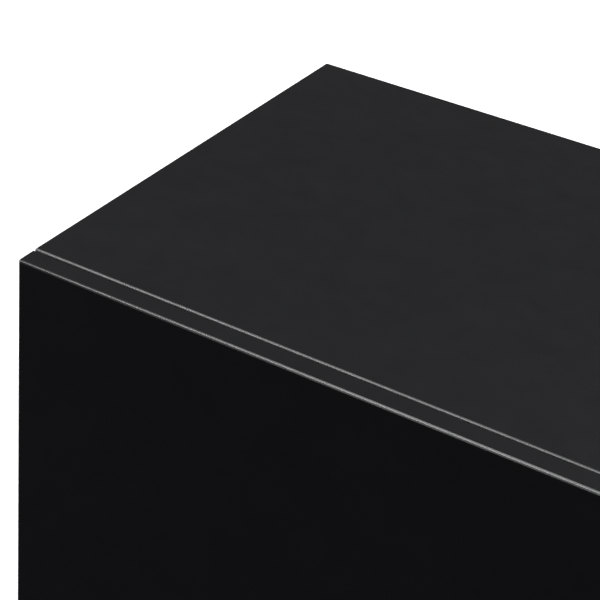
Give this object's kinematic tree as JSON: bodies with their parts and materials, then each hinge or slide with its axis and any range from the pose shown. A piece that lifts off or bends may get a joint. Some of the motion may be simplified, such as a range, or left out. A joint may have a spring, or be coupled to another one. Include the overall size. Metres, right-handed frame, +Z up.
{
  "type": "apple box",
  "caption": "Low black laminated box for standing or sitting on and raising things, with hand holes in its ends, a full-overlay front door and push-to-open latch.",
  "frame": {"origin": "centre of the footprint, on the surface that the box stands on", "axes": "+X along the length towards the hinge end, +Y from the door to the back, +Z up"},
  "size_m": [0.508, 0.305, 0.203],
  "materials": {
    "black_laminate": "satin black laminate on board, edges eased",
    "beech": "plain turned dowel",
    "nickel_steel": "nickel plated",
    "black_screw": "black oxide",
    "latch_plastic": "moulded, fine texture",
    "plunger_plastic": "moulded, smooth",
    "spring_steel": "bright drawn wire"
  },
  "bodies": {
    "carcass": {"top_panel": "black_laminate", "bottom_panel": "black_laminate", "back_panel": "black_laminate", "left_end": "black_laminate", "right_end": "black_laminate", "centre_divider": "black_laminate", "top_dowel_1": "beech", "top_dowel_2": "beech", "top_dowel_3": "beech", "top_dowel_4": "beech", "top_dowel_5": "beech", "top_dowel_6": "beech", "bottom_dowel_1": "beech", "bottom_dowel_2": "beech", "bottom_dowel_3": "beech", "bottom_dowel_4": "beech", "bottom_dowel_5": "beech", "bottom_dowel_6": "beech", "back_dowel_1": "beech", "back_dowel_2": "beech", "back_dowel_3": "beech", "back_dowel_4": "beech", "back_dowel_5": "beech", "back_dowel_6": "beech", "lower_hinge_carcass_leaf": "nickel_steel", "upper_hinge_carcass_leaf": "nickel_steel", "lower_hinge_pin": "nickel_steel", "upper_hinge_pin": "nickel_steel", "hinge_carcass_screw_1": "nickel_steel", "hinge_carcass_screw_2": "nickel_steel", "hinge_carcass_screw_3": "nickel_steel", "hinge_carcass_screw_4": "nickel_steel", "latch_housing": "latch_plastic", "lower_latch_screw": "black_screw", "upper_latch_screw": "black_screw"},
    "door": {"door_panel": "black_laminate", "lower_hinge_door_leaf": "nickel_steel", "upper_hinge_door_leaf": "nickel_steel", "hinge_door_screw_1": "nickel_steel", "hinge_door_screw_2": "nickel_steel", "hinge_door_screw_3": "nickel_steel", "hinge_door_screw_4": "nickel_steel", "strike_plate": "nickel_steel", "strike_screw": "nickel_steel"},
    "plunger": {"latch_plunger": "plunger_plastic", "latch_magnet": "nickel_steel", "latch_spring": "spring_steel"}
  },
  "joints": [
    {"name": "door_hinge", "type": "hinge", "parent": "carcass", "child": "door", "pos_m": [0.2518, -0.1416, 0.1015], "axis": [0, 0, 1], "range_deg": [0, 105]},
    {"name": "latch_push", "type": "slide", "parent": "carcass", "child": "plunger", "axis": [0, 1, 0], "range_m": [0, 0.0006], "stiffness_N_per_m": 400}
  ]
}
